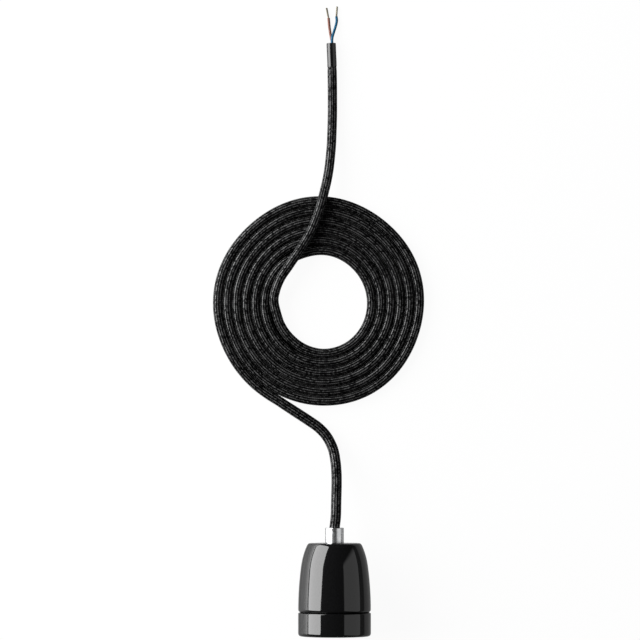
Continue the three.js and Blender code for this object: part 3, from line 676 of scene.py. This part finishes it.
def sleeve_mesh():
    """A tube that hugs the braid with a wavy edge, rolls in at its mouth and is closed a little way in."""
    line, marks = lined(END_SLEEVE_ROUTE)
    end = marks[-1]
    plain = np.linspace(SLEEVE_EDGE_LENGTH, end - SLEEVE_EDGE_LENGTH, 12)
    profile = np.vstack([
        np.array(SLEEVE_FOOT) + (0.0, SLEEVE_RADIUS),
        np.stack([plain, np.full_like(plain, SLEEVE_RADIUS)], axis=1),
        np.array(SLEEVE_TIP) + (end, SLEEVE_RADIUS),
        np.array(SLEEVE_MOUTH) + (end, SLEEVE_MOUTH_RADIUS),
    ])
    points = round_about(line, marks, profile, SLEEVE_SIDES)
    turn = 2 * np.pi * np.arange(SLEEVE_SIDES) / SLEEVE_SIDES
    ripple = SLEEVE_EDGE_RIPPLE * np.sin(3 * turn)
    swing = SLEEVE_EDGE_SWING * (np.sin(turn + SLEEVE_EDGE_TURN) + ripple)
    fade = np.clip(1.0 - profile[:, 0] / SLEEVE_EDGE_LENGTH, 0.0, 1.0) * (profile[:, 0] < end / 2)
    points[:, :, 1] += fade[:, None] * swing[None, :]
    return grid_mesh("shrink_sleeve", points, capped=True)


def core_mesh(name, route):
    """A smooth round core with a slightly rounded cut end."""
    line, marks = lined(route)
    end = marks[-1]
    plain = np.linspace(0.0, end - 0.15, 40)
    profile = np.vstack([
        np.stack([plain, np.full_like(plain, CORE_RADIUS)], axis=1),
        np.array(CORE_CUT) + (end, CORE_RADIUS),
    ])
    return grid_mesh(name, round_about(line, marks, profile, CORE_SIDES), capped=True)


def strands_mesh(name, line, marks):
    """Twisted strands as one surface: a section of round lobes that turns as it goes along the line."""
    sides = STRANDS_LOBES * SIDES_PER_LOBE
    turn = 2 * np.pi * np.arange(sides) / sides
    twist = 2 * np.pi * marks / STRANDS_TWIST_LENGTH
    lobes = np.abs(np.cos(0.5 * STRANDS_LOBES * turn))
    radius = STRANDS_RADIUS * (1.0 - LOBE_HEIGHT + LOBE_HEIGHT * lobes)
    angle = turn[None, :] + twist[:, None]
    section = radius[None, :, None] * np.stack([np.cos(angle), np.sin(angle)], axis=2)
    section[-1] *= STRANDS_TIP
    return grid_mesh(name, swept(line, section), capped=True)


free_end = [
    dressed("shrink_sleeve", sleeve_mesh(), shrink_film, "shrink", "end_sleeve"),
    dressed(
        "brown_wire", core_mesh("brown_wire", BROWN_ROUTE), brown_skin, "brown_insulation", "brown_core",
    ),
    dressed("blue_wire", core_mesh("blue_wire", BLUE_ROUTE), blue_skin, "blue_insulation", "blue_core"),
]
for name, bare, node in (
    ("brown_strands", BROWN_BARE, "brown_conductor"),
    ("blue_strands", BLUE_BARE, "blue_conductor"),
):
    strands = strands_mesh(name, *lined(bare, STRANDS_STEP))
    free_end.append(dressed(name, strands, bare_copper, "conductor", node))


# Porcelain ring: the holder's lower half, pressed and fired in black glaze. Its sleeve goes up into
# the bell with a coarse thread, and its open mouth lets the bulb's neck pass.
TOUCH_GAP = 0.03
PORCELAIN_SIDES = 256
RING_RADIUS = 23.5
RING_HEIGHT = 15.47
RIM_ROUND = 2.2
GROOVE_EDGE = 0.7
GROOVE_EDGE_DEPTH = 0.35
GROOVE_BEVEL = (0.80, 0.45)
MOUTH_RADIUS = 15.45
MOUTH_ROUND = 1.5
MOUTH_DEPTH = 7.0
RING_BORE = 14.25
MOUTH_STEP = MOUTH_RADIUS - RING_BORE
SLEEVE_OUTER_RADIUS = 17.55
SLEEVE_TOP = 33.7
BELL_THREAD_PITCH = 4.2
BELL_THREAD_SWING = 0.2
THREAD_ROWS = 0.35
THREAD_RUN_OUT = 0.6
LIP = 0.4
SAME_POINT = 1e-6
SAME_RADIUS = 1e-3


def arc(start, corner, end, steps=12):
    """Points of the quadratic curve that leaves start towards the corner and arrives at end from it."""
    t = np.linspace(0.0, 1.0, steps)[:, None]
    start, corner, end = np.array(start), np.array(corner), np.array(end)
    return (1 - t) ** 2 * start + 2 * t * (1 - t) * corner + t**2 * end


def straight(start, end, spacing=1.2):
    """Points between start and end, about a spacing apart, without the two ends."""
    start, end = np.array(start), np.array(end)
    steps = max(2, int(np.ceil(np.linalg.norm(end - start) / spacing)))
    return start + (end - start) * (np.arange(1, steps) / steps)[:, None]


def outline(*parts):
    """A closed outline of radii and heights from arcs and single points, with straight runs filled in."""
    rows = []
    parts = [np.atleast_2d(np.array(part, dtype=float)) for part in parts]
    for part, following in zip(parts, parts[1:] + parts[:1]):
        rows.append(part)
        if np.linalg.norm(following[0] - part[-1]) > SAME_POINT:
            rows.append(straight(part[-1], following[0]))
    rows = np.vstack(rows)
    keep = np.linalg.norm(rows - np.roll(rows, 1, axis=0), axis=1) > SAME_POINT
    return rows[keep]


def about_holder_axis(profile, sides, swing=None):
    """Rings about the holder's axis, from rows of radius and height; swing adds to the radius."""
    turn = -np.arange(sides) / sides
    radius, height = profile[:, 0, None], profile[:, 1, None]
    if swing is not None:
        radius = radius + swing(height, turn[None, :])
    else:
        radius = np.broadcast_to(radius, (len(profile), sides))
    angle = 2 * np.pi * turn
    x = radius * np.sin(angle)
    z = HOLDER_AXIS + radius * np.cos(angle)
    return np.stack([x, np.broadcast_to(height - MOUTH_Y, x.shape), z], axis=2)


def threaded(profile, low, high, radius, pitch, swing):
    """The swing of a right-hand thread, where the profile is a cylinder between two heights."""
    on_it = np.abs(profile[:, 0, None] - radius) < SAME_RADIUS

    def at(height, turn):
        fade = np.clip(np.minimum(height - low, high - height) / (THREAD_RUN_OUT * pitch), 0.0, 1.0)
        return on_it * fade * swing * np.cos(2 * np.pi * (height / pitch - turn))

    return at


def glaze_material():
    """Black glaze: very smooth, faintly uneven where it ran, with small pits and a trace of dust."""
    material, tree, shader = new_material("black_glaze", IOR=1.52)
    runs = add_group(tree, surface_grain, Scale=55.0, Detail=1.0, Depth=0.00012)
    specks = add_group(tree, surface_grain, Scale=1600.0, Detail=2.0, Depth=0.0)
    tint = add_group(
        tree, worn_tint, Mottle=specks.outputs["Mottle"],
        Clean=(0.0026, 0.0026, 0.0028, 1.0), Worn=(0.0045, 0.0045, 0.0048, 1.0), Smooth=0.04, Rough=0.07,
    )
    tree.links.new(tint.outputs["Color"], shader.inputs["Base Color"])
    tree.links.new(tint.outputs["Roughness"], shader.inputs["Roughness"])
    tree.links.new(runs.outputs["Normal"], shader.inputs["Normal"])
    return material


black_glaze = glaze_material()
bevel_foot = RING_HEIGHT - GROOVE_BEVEL[1]
bevel_radius = RING_RADIUS - GROOVE_EDGE_DEPTH
ring_profile = outline(
    arc((MOUTH_RADIUS, MOUTH_ROUND), (MOUTH_RADIUS, 0.0), (MOUTH_RADIUS + MOUTH_ROUND, 0.0)),
    arc((RING_RADIUS - RIM_ROUND, 0.0), (RING_RADIUS, 0.0), (RING_RADIUS, RIM_ROUND), 16),
    arc((RING_RADIUS, bevel_foot - GROOVE_EDGE), (RING_RADIUS, bevel_foot), (bevel_radius, bevel_foot)),
    (bevel_radius - GROOVE_BEVEL[0], RING_HEIGHT),
    (SLEEVE_OUTER_RADIUS, RING_HEIGHT),
    straight((SLEEVE_OUTER_RADIUS, RING_HEIGHT), (SLEEVE_OUTER_RADIUS, SLEEVE_TOP), THREAD_ROWS),
    (SLEEVE_OUTER_RADIUS - LIP, SLEEVE_TOP),
    (RING_BORE, SLEEVE_TOP),
    (RING_BORE, MOUTH_DEPTH + MOUTH_STEP),
    (MOUTH_RADIUS, MOUTH_DEPTH),
)
sleeve_thread = threaded(
    ring_profile, RING_HEIGHT, SLEEVE_TOP, SLEEVE_OUTER_RADIUS, BELL_THREAD_PITCH, BELL_THREAD_SWING,
)
ring_mesh = grid_mesh(
    "glazed_ring", about_holder_axis(ring_profile, PORCELAIN_SIDES, sleeve_thread), closed=True
)
dressed("glazed_ring", ring_mesh, black_glaze, "glaze", "porcelain_ring")


# Porcelain bell: the upper half, whose sides draw in towards a flat top with the hole for the grip's
# stem. Inside it has the ring's thread and a ledge over the contact block.
BELL_RADIUS = 23.45
BELL_EDGE_ROUND = 2.0
BELL_BOTTOM = RING_HEIGHT + TOUCH_GAP
PORCELAIN_HEIGHT = 60.0
SIDE_END = (21.62, 45.0)
SHOULDER_BEND = (20.61, 52.3)
SHOULDER_END = (18.0, 58.1)
TOP_EDGE_BEND_RADIUS = 17.15
BELL_TOP_RADIUS = 16.1
STEM_HOLE_RADIUS = 5.3
BELL_CEILING = 55.5
CEILING_RADIUS = 13.4
UPPER_CAVITY_RADIUS = 16.0
BELL_LEDGE = 44.3
BELL_BORE = 18.05

side_bottom = BELL_BOTTOM + BELL_EDGE_ROUND
bell_profile = outline(
    (BELL_BORE, BELL_BOTTOM),
    arc(
        (BELL_RADIUS - BELL_EDGE_ROUND, BELL_BOTTOM), (BELL_RADIUS, BELL_BOTTOM),
        (BELL_RADIUS, side_bottom),
    ),
    arc((BELL_RADIUS, side_bottom), (BELL_RADIUS, (side_bottom + SIDE_END[1]) / 2), SIDE_END, 40),
    arc(SIDE_END, SHOULDER_BEND, SHOULDER_END, 24),
    arc(SHOULDER_END, (TOP_EDGE_BEND_RADIUS, PORCELAIN_HEIGHT), (BELL_TOP_RADIUS, PORCELAIN_HEIGHT), 16),
    arc(
        (STEM_HOLE_RADIUS + LIP, PORCELAIN_HEIGHT), (STEM_HOLE_RADIUS, PORCELAIN_HEIGHT),
        (STEM_HOLE_RADIUS, PORCELAIN_HEIGHT - LIP), 5,
    ),
    (STEM_HOLE_RADIUS, BELL_CEILING),
    (CEILING_RADIUS, BELL_CEILING),
    (UPPER_CAVITY_RADIUS, BELL_LEDGE),
    (BELL_BORE - LIP, BELL_LEDGE),
    straight((BELL_BORE, BELL_LEDGE), (BELL_BORE, BELL_BOTTOM), THREAD_ROWS),
)
bore_thread = threaded(
    bell_profile, BELL_BOTTOM, SLEEVE_TOP, BELL_BORE, BELL_THREAD_PITCH, BELL_THREAD_SWING,
)
bell_mesh = grid_mesh(
    "glazed_bell", about_holder_axis(bell_profile, PORCELAIN_SIDES, bore_thread), closed=True
)
dressed("glazed_bell", bell_mesh, black_glaze, "glaze", "porcelain_bell")


# Screw shell: thin plated sheet, rolled with the bulb's thread and turned in at its top to a flange.
# The flange is cut back on the live side, and a screw holds it to the block on the other.
SHELL_SIDES = 144
CREST_RADIUS = 12.35
THREAD_DEPTH = 1.0
THREAD_PITCH = 3.63
SHELL_SHEET = 0.4
SHELL_BOTTOM = 9.0
SHELL_COLLAR = 1.8
FLANGE_HOLE = 4.0
TERMINAL_OFFSET = 7.45
SCREW_HOLE = 1.75
FLANGE_WINDOW = (-10.6, 3.95, 8.0)
SHELL_ROWS = 90
WINDOW_REACH = 0.8
HOLE_REACH = 1.0
TURNING_LINES = 9000.0
PATCH_SCALE = 260.0


def finish_node(name, material):
    """Gives a solid that keeps its own shape a better material."""
    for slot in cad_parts[name].material_slots:
        slot.material = material


def rod(start, end, radius, sides=48, upright=(0.0, 0.0, 1.0)):
    """A round bar between two points given in mm, to cut with."""
    line = np.linspace(start, end, 2)
    rings = swept(line, circle(sides, radius), upright)
    return link_object("cutter", grid_mesh("cutter", rings, capped=True))


def bar_box(low, high):
    """A box between two corners given in mm, to cut with."""
    x, z = (low[0], high[0]), (low[2], high[2])
    ring = np.array([(x[1], z[0]), (x[1], z[1]), (x[0], z[1]), (x[0], z[0])])
    rows = [np.stack([ring[:, 0], np.full(4, y), ring[:, 1]], axis=1) for y in (low[1], high[1])]
    return link_object("cutter", grid_mesh("cutter", np.array(rows), capped=True))


def cut_mesh(mesh, *cutters):
    """The mesh less the volumes of the cutters, by Boolean modifiers whose result is kept."""
    blank = link_object("blank", mesh)
    for cutter in cutters:
        modifier = blank.modifiers.new("cut", "BOOLEAN")
        modifier.operation = "DIFFERENCE"
        modifier.solver = "EXACT"
        modifier.object = cutter
    depsgraph = bpy.context.evaluated_depsgraph_get()
    result = bpy.data.meshes.new_from_object(blank.evaluated_get(depsgraph))
    for used in (blank, *cutters):
        bpy.data.objects.remove(used)
    return result


def metal_material(name, clean, worn, smooth, rough, line_depth):
    """Turned or rolled metal: fine lines round the holder's axis, over patches of worn plating."""
    material, tree, shader = new_material(name, Metallic=1.0)
    place = add_node(tree, "SeparateXYZ", {0: add_node(tree, "TexCoord").outputs["Object"]})
    upward = maths(tree, "SUBTRACT", place.outputs["Z"], HOLDER_AXIS * MM)
    squares = [maths(tree, "MULTIPLY", value, value) for value in (place.outputs["X"], upward)]
    outward = maths(tree, "SQRT", maths(tree, "ADD", *squares))
    out_lines = maths(tree, "MULTIPLY", outward, TURNING_LINES)
    along_lines = maths(tree, "MULTIPLY", place.outputs["Y"], TURNING_LINES)
    across_lines = add_node(tree, "CombineXYZ", {"X": out_lines, "Y": along_lines})
    lines = add_node(tree, "TexNoise", {"Vector": across_lines.outputs[0], "Scale": 1.0, "Detail": 2.0})
    bump = add_node(tree, "Bump", {"Height": lines.outputs[0], "Distance": line_depth})
    patches = add_group(tree, surface_grain, Scale=PATCH_SCALE, Detail=BLOTCH_DETAIL, Depth=0.0)
    tint = add_group(
        tree, worn_tint, Mottle=patches.outputs["Mottle"],
        Clean=(*clean, 1.0), Worn=(*worn, 1.0), Smooth=smooth, Rough=rough,
    )
    tree.links.new(tint.outputs["Color"], shader.inputs["Base Color"])
    tree.links.new(tint.outputs["Roughness"], shader.inputs["Roughness"])
    tree.links.new(bump.outputs[0], shader.inputs["Normal"])
    return material


def shell_mesh():
    """Two skins of a rolled thread, one sheet apart, which fade to a plain collar at each end."""
    flange = SLEEVE_TOP - SHELL_SHEET
    heights = np.linspace(SHELL_BOTTOM, flange, SHELL_ROWS)
    middle = CREST_RADIUS + THREAD_DEPTH / 2
    outer = np.stack([np.full_like(heights, middle + SHELL_SHEET), heights], axis=1)
    outer[-1, 1] = SLEEVE_TOP
    inner = np.stack([np.full_like(heights, middle), heights], axis=1)[::-1]
    across = [(FLANGE_HOLE, SLEEVE_TOP), (FLANGE_HOLE, flange)]
    upper, lower = straight(outer[-1], across[0]), straight(across[1], inner[0])
    profile = np.vstack([outer, upper, across, lower, inner])
    swinging = np.abs(profile[:, 0, None] - middle) < SHELL_SHEET + SAME_RADIUS

    def swing(height, turn):
        fade = np.minimum(1.0, np.minimum(height - SHELL_BOTTOM, flange - height) / SHELL_COLLAR)
        wave = np.cos(2 * np.pi * (height / THREAD_PITCH - turn))
        return swinging * 0.5 * THREAD_DEPTH * np.maximum(fade, 0.0) * wave

    mesh = grid_mesh("screw_shell", about_holder_axis(profile, SHELL_SIDES, swing), closed=True)
    left, right, width = FLANGE_WINDOW
    level = SLEEVE_TOP - MOUTH_Y
    window = bar_box(
        (left, level - WINDOW_REACH, HOLDER_AXIS - width / 2),
        (right, level + WINDOW_REACH, HOLDER_AXIS + width / 2),
    )
    hole = rod(
        (TERMINAL_OFFSET, level - HOLE_REACH, HOLDER_AXIS),
        (TERMINAL_OFFSET, level + HOLE_REACH, HOLDER_AXIS), SCREW_HOLE,
    )
    return cut_mesh(mesh, window, hole)


nickel_plate = metal_material(
    "nickel_plate", clean=(0.62, 0.60, 0.55), worn=(0.46, 0.44, 0.40),
    smooth=0.22, rough=0.36, line_depth=0.000012,
)
dressed("rolled_shell", shell_mesh(), nickel_plate, "nickel", "screw_shell")


# Contact block: a disc of steatite, pressed and fired without a glaze, with pockets for the two
# terminals. The ring's sleeve holds it up under the bell's ledge.
fired_steatite = grained_material(
    "fired_steatite", clean=(0.70, 0.66, 0.57), worn=(0.60, 0.56, 0.47),
    smooth=0.7, rough=0.85, scale=2200.0, depth=0.00003, detail=5.0,
)
finish_node("contact_block", fired_steatite)


# Centre contact: a springy brass tongue, bent down to meet the bulb, screwed under the live terminal.
# The terminals are brass blocks with a clamping screw for the wire and a fixing screw from below.
TONGUE_SHEET = 0.6
TONGUE_WIDTH = 6.0
TONGUE_EDGE = 0.22
TONGUE_SIDES = 16
TONGUE_STEP = 0.25
TIP_LENGTH = 1.6
TIP_NARROWING = 0.22
TONGUE_HOLE_REACH = (-2, 1)
TONGUE_ROUTE = [
    (-10.45, 33.4), (-8.0, 33.4), (-6.0, 33.4), (-4.9, 33.2), (-3.8, 32.6), (-2.3, 31.7),
    (-0.8, 30.8), (0.2, 30.42), (1.0, 30.4), (1.7, 30.6), (2.4, 31.1), (2.95, 31.5),
]


def tongue_mesh():
    """A flat strip with round edges, carried along the tongue's bends; it narrows a little at its tip."""
    route = [(x, height - MOUTH_Y, HOLDER_AXIS) for x, height in TONGUE_ROUTE]
    line, marks = even_steps(smooth_curve(route, 8), TONGUE_STEP)
    unit = circle(TONGUE_SIDES, start=np.pi / TONGUE_SIDES)
    half = np.array([TONGUE_SHEET, TONGUE_WIDTH]) / 2 - TONGUE_EDGE
    section = np.sign(unit) * half + TONGUE_EDGE * unit
    tip = np.clip((marks - marks[-1] + TIP_LENGTH) / TIP_LENGTH, 0.0, 1.0)
    narrow = 1.0 - TIP_NARROWING * tip**2
    section = section[None] * np.stack([np.ones_like(narrow), narrow], axis=1)[:, None]
    mesh = grid_mesh("tongue", swept(line, section), capped=True)
    level = SLEEVE_TOP - MOUTH_Y
    below, above = ((-TERMINAL_OFFSET, level + reach, HOLDER_AXIS) for reach in TONGUE_HOLE_REACH)
    return cut_mesh(mesh, rod(below, above, SCREW_HOLE))


plain_brass = grained_material(
    "plain_brass", clean=(0.56, 0.39, 0.15), worn=(0.40, 0.27, 0.11),
    smooth=0.24, rough=0.42, scale=900.0, depth=0.000006, Metallic=1.0,
)
dressed("sprung_tongue", tongue_mesh(), plain_brass, "brass", "centre_contact")
for name in (
    "live_terminal", "neutral_terminal", "live_terminal_screw", "neutral_terminal_screw",
    "centre_contact_screw", "shell_screw",
):
    finish_node(name, plain_brass)


# Cord grip: turned steel with a bright finish, its stem threaded M10x1 through the bell's top. A nut
# and a washer hold it from inside. A nylon bush in its cup is pressed on the cord by a grub screw.
GRIP_SIDES = 128
GRIP_RADIUS = 6.0
GRIP_BOTTOM = PORCELAIN_HEIGHT + TOUCH_GAP
GRIP_TOP = 70.0
GRIP_EDGE = 0.6
GRIP_CAVITY_RADIUS = 4.4
GRIP_CAVITY_FLOOR = 61.7
STEM_RADIUS = 5.0
STEM_BOTTOM = 50.9
STEM_PITCH = 1.0
STEM_THREAD_DEPTH = 0.3
STEM_ROWS = 0.14
STEM_RUN_OUT = 0.2
FOOT_EDGE = 0.15
CAVITY_EDGE = 0.25
CORD_BORE = 3.4
GRUB_HOLE = 1.8
GRUB_REACH = 7
BUSH_RADIUS = 4.1
BUSH_BOTTOM = 62.0
BUSH_TOP = 69.6
BUSH_EDGE = 0.2
BUSH_SIDES = 96


def grip_mesh():
    """A threaded stem, a plain cup with a rounded mouth, and a hole for the grub screw underneath."""
    profile = outline(
        (CORD_BORE, STEM_BOTTOM),
        (STEM_RADIUS - STEM_THREAD_DEPTH, STEM_BOTTOM),
        straight((STEM_RADIUS, STEM_BOTTOM), (STEM_RADIUS, PORCELAIN_HEIGHT - STEM_RUN_OUT), STEM_ROWS),
        (STEM_RADIUS, GRIP_BOTTOM),
        arc(
            (GRIP_RADIUS - FOOT_EDGE, GRIP_BOTTOM), (GRIP_RADIUS, GRIP_BOTTOM),
            (GRIP_RADIUS, GRIP_BOTTOM + FOOT_EDGE), 4,
        ),
        arc(
            (GRIP_RADIUS, GRIP_TOP - GRIP_EDGE), (GRIP_RADIUS, GRIP_TOP),
            (GRIP_RADIUS - GRIP_EDGE, GRIP_TOP), 10,
        ),
        arc(
            (GRIP_CAVITY_RADIUS + CAVITY_EDGE, GRIP_TOP), (GRIP_CAVITY_RADIUS, GRIP_TOP),
            (GRIP_CAVITY_RADIUS, GRIP_TOP - CAVITY_EDGE), 5,
        ),
        (GRIP_CAVITY_RADIUS, GRIP_CAVITY_FLOOR),
        (CORD_BORE, GRIP_CAVITY_FLOOR),
    )
    on_stem = np.abs(profile[:, 0, None] - STEM_RADIUS) < SAME_RADIUS

    def swing(height, turn):
        fade = np.clip(np.minimum(height - STEM_BOTTOM, PORCELAIN_HEIGHT - height) / STEM_PITCH, 0.0, 1.0)
        wave = np.cos(2 * np.pi * (height / STEM_PITCH - turn)) - 1.0
        return on_stem * fade * STEM_THREAD_DEPTH * wave

    mesh = grid_mesh("grip", about_holder_axis(profile, GRIP_SIDES, swing), closed=True)
    middle = (GRIP_BOTTOM + GRIP_TOP) / 2 - MOUTH_Y
    inside, outside = (0, middle, HOLDER_AXIS), (0, middle, HOLDER_AXIS - GRUB_REACH)
    return cut_mesh(mesh, rod(inside, outside, GRUB_HOLE, upright=(1, 0, 0)))


bright_steel = metal_material(
    "bright_steel", clean=(0.80, 0.81, 0.82), worn=(0.72, 0.73, 0.74),
    smooth=0.24, rough=0.32, line_depth=0.000003,
)
dressed("grip_cup", grip_mesh(), bright_steel, "grip_metal", "grip_body")
black_nylon = grained_material(
    "black_nylon", clean=(0.014, 0.014, 0.014), worn=(0.020, 0.020, 0.020),
    smooth=0.42, rough=0.55, scale=1400.0, depth=0.00001, IOR=1.53,
)
bush_profile = outline(
    (CORD_BORE, BUSH_BOTTOM),
    (BUSH_RADIUS, BUSH_BOTTOM),
    (BUSH_RADIUS, BUSH_TOP - BUSH_EDGE),
    (BUSH_RADIUS - BUSH_EDGE, BUSH_TOP),
    (CORD_BORE, BUSH_TOP),
)
bush_mesh = grid_mesh("bush", about_holder_axis(bush_profile, BUSH_SIDES), closed=True)
dressed("clamp_bush", bush_mesh, black_nylon, "nylon", "grip_bush")
finish_node("grip_screw", bright_steel)
for name in ("lock_nut", "lock_washer"):
    finish_node(name, nickel_plate)


# Inner wiring: the braid ends inside the stem, and the brown and blue cores bend out to the live and
# the neutral terminal, where their stripped strands lie under the clamping screws.
CORE_START = (1.05, 51.0)
CORE_CORNER = (1.05, 45.05)
CORE_END = (4.65, 45.05)
INNER_BARE = (4.4, 8.95)
BEND_STEPS = 24
for side, colour, skin in ((-1, "brown", brown_skin), (1, "blue", blue_skin)):
    bend = arc(CORE_START, CORE_CORNER, CORE_END, BEND_STEPS)
    line = np.stack([side * bend[:, 0], bend[:, 1] - MOUTH_Y, np.full(BEND_STEPS, HOLDER_AXIS)], axis=1)
    name = "inner_" + colour + "_wire"
    mesh = grid_mesh(name, swept(line, circle(CORE_SIDES, CORE_RADIUS)), capped=True)
    dressed(name, mesh, skin, colour + "_insulation", "inner_" + colour + "_core")
    ends = [(side * x, CORE_END[1] - MOUTH_Y, HOLDER_AXIS) for x in INNER_BARE]
    name = "inner_" + colour + "_strands"
    mesh = strands_mesh(name, *even_steps(np.array(ends), STRANDS_STEP))
    dressed(name, mesh, bare_copper, "conductor", "inner_" + colour + "_conductor")
